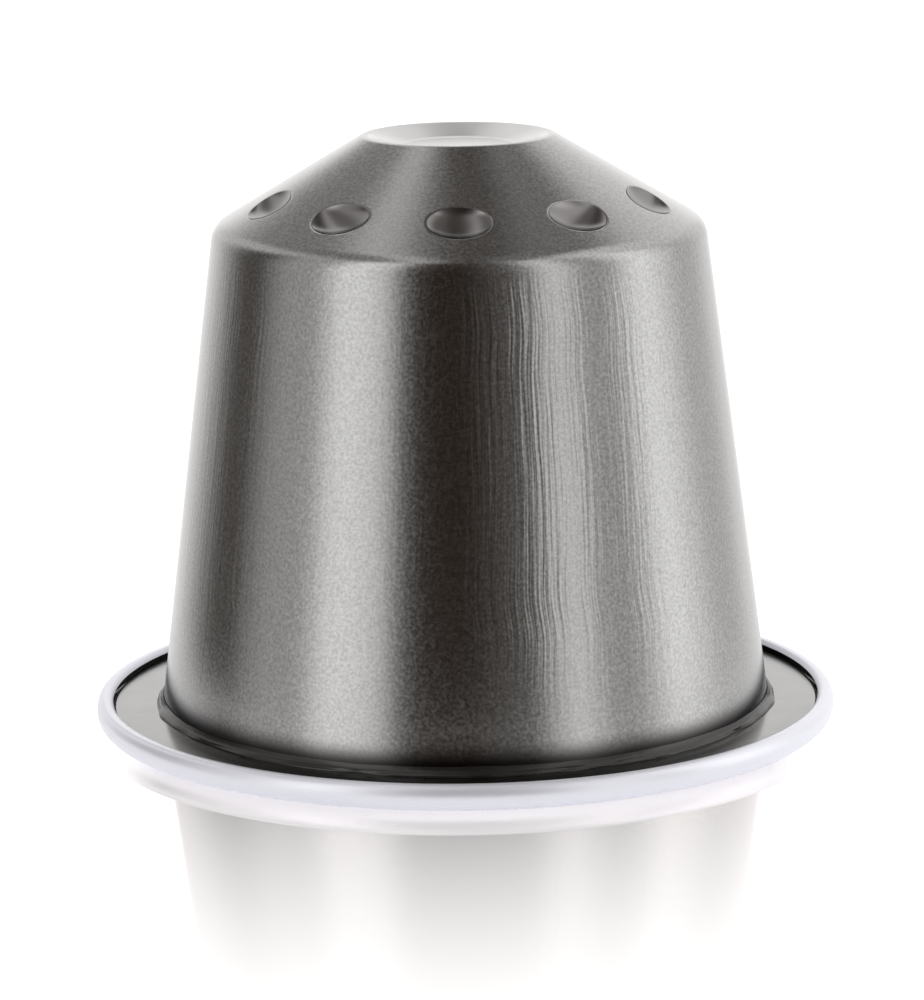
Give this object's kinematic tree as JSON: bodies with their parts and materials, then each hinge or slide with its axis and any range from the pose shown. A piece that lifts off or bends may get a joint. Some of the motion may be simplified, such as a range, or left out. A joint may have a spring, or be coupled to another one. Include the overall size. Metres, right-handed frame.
{
  "type": "coffee pod",
  "caption": "Sealed aluminium coffee capsule: tapered cup with a dimpled sloping shoulder, recessed nose, flange with rolled rim, seal ring and lid foil.",
  "frame": {"origin": "on the capsule's axis, at the level that the rolled rim stands on", "axes": "+Z along the axis, from the lid foil up to the nose; one dimple faces -Y"},
  "size_m": [0.037, 0.037, 0.0291],
  "materials": {
    "lacquered_aluminium": "satin gunmetal lacquer, the rolled rim bare",
    "seal_compound": "glossy black",
    "bare_foil": "satin"
  },
  "bodies": {
    "root": {"capsule_body": "lacquered_aluminium", "sealing_ring": "seal_compound", "lid_foil": "bare_foil"}
  },
  "joints": []
}
